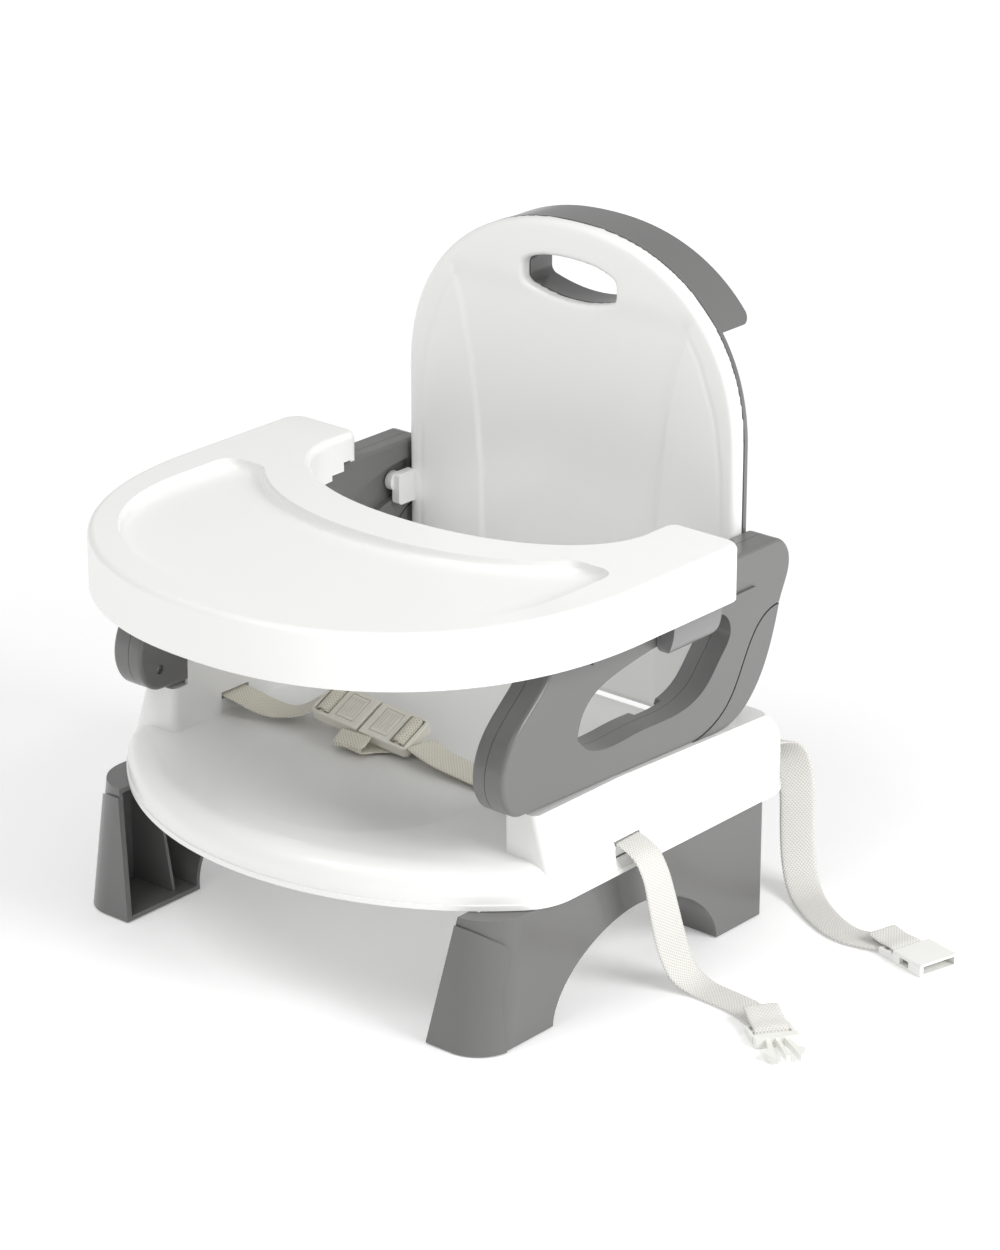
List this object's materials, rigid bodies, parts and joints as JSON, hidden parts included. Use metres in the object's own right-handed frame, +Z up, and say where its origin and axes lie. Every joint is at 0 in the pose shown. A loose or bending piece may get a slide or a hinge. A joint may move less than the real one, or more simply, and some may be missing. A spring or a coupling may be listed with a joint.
{
  "type": "booster high chair",
  "caption": "Low folding booster high chair: white seat with grey arms and arched legs, round-topped folding backrest with a carry handle, slide-off tray, waist harness and chair straps.",
  "frame": {"origin": "on the floor, midway between the legs' sides; front-to-back at the middle of the chair's whole depth, tray to handle rim", "axes": "+X to the child's left, +Y towards the backrest, +Z up"},
  "size_m": [0.536, 0.4211, 0.4525],
  "materials": {
    "white_shell": "smooth moulded plastic with a soft gloss",
    "grey_shell": "mid-grey moulded plastic with a soft gloss",
    "latch_grey": "lighter grey moulded plastic",
    "webbing": "woven cream webbing, 25 mm wide",
    "harness_buckle": "cream moulded buckle plastic",
    "strap_buckle": "white moulded buckle plastic",
    "rubber_pad": "dark rubber",
    "steel_pin": "plain steel",
    "screw_steel": "zinc plated steel"
  },
  "bodies": {
    "seat": {"arm_inner_shell_left": "grey_shell", "arm_inner_shell_right": "grey_shell", "arm_outer_shell_left": "grey_shell", "arm_outer_shell_right": "grey_shell", "arm_rear_cover_left": "grey_shell", "arm_rear_cover_right": "grey_shell", "arm_screws": "screw_steel", "crotch_strap": "webbing", "harness_plug": "harness_buckle", "harness_receiver": "harness_buckle", "leg_hinge_pins_left": "steel_pin", "leg_hinge_pins_right": "steel_pin", "rear_strap": "webbing", "rear_strap_socket": "strap_buckle", "rear_strap_tail": "webbing", "seat_base": "white_shell", "side_strap": "webbing", "side_strap_plug": "strap_buckle", "side_strap_tail": "webbing", "waist_anchor_bars": "steel_pin", "waist_strap_left": "webbing", "waist_strap_right": "webbing"},
    "backrest": {"backrest_front_panel": "white_shell", "backrest_guide_left": "white_shell", "backrest_guide_right": "white_shell", "backrest_hinge_pin_left": "steel_pin", "backrest_hinge_pin_right": "steel_pin", "backrest_rear_shell": "grey_shell", "backrest_screws": "screw_steel"},
    "tray": {"tray": "white_shell", "tray_latch_pin_left": "steel_pin", "tray_latch_pin_right": "steel_pin", "tray_latch_spring_left": "steel_pin", "tray_latch_spring_right": "steel_pin"},
    "tray_latch_right": {"tray_latch_right": "latch_grey"},
    "tray_latch_left": {"tray_latch_left": "latch_grey"},
    "leg_right": {"foot_pads_right": "rubber_pad", "leg_corner_cover_right": "grey_shell", "leg_right": "grey_shell"},
    "leg_left": {"foot_pads_left": "rubber_pad", "leg_corner_cover_left": "grey_shell", "leg_left": "grey_shell"},
    "harness_button_left": {"harness_button_left": "harness_buckle"},
    "harness_button_right": {"harness_button_right": "harness_buckle"}
  },
  "joints": [
    {"name": "backrest_fold", "type": "hinge", "parent": "seat", "child": "backrest", "pos_m": [0, 0.168, 0.126], "axis": [1, 0, 0], "range_deg": [0, 78]},
    {"name": "tray_slide", "type": "slide", "parent": "seat", "child": "tray", "axis": [0, -1, 0], "range_m": [0, 0.22]},
    {"name": "leg_fold_right", "type": "hinge", "parent": "seat", "child": "leg_right", "pos_m": [0.15, 0.018, 0.082], "axis": [0, 1, 0], "range_deg": [0, 88]},
    {"name": "leg_fold_left", "type": "hinge", "parent": "seat", "child": "leg_left", "pos_m": [-0.15, 0.018, 0.082], "axis": [0, -1, 0], "range_deg": [0, 88]},
    {"name": "tray_latch_lift_right", "type": "hinge", "parent": "tray", "child": "tray_latch_right", "pos_m": [0.187, 0.071, 0.262], "axis": [0, -1, 0], "range_deg": [0, 30], "stiffness_Nm_per_rad": 0.08},
    {"name": "tray_latch_lift_left", "type": "hinge", "parent": "tray", "child": "tray_latch_left", "pos_m": [-0.187, 0.071, 0.262], "axis": [0, 1, 0], "range_deg": [0, 30], "stiffness_Nm_per_rad": 0.08},
    {"name": "buckle_button_press_left", "type": "slide", "parent": "seat", "child": "harness_button_left", "axis": [-0.151, 0.398, -0.9049], "range_m": [0, 0.0015], "stiffness_N_per_m": 600},
    {"name": "buckle_button_press_right", "type": "slide", "parent": "seat", "child": "harness_button_right", "axis": [-0.151, 0.398, -0.9049], "range_m": [0, 0.0015], "stiffness_N_per_m": 600}
  ],
  "couplings": [
    {"joint": "tray_slide", "follows": "backrest_fold", "m_per_rad": 0.16043}
  ]
}
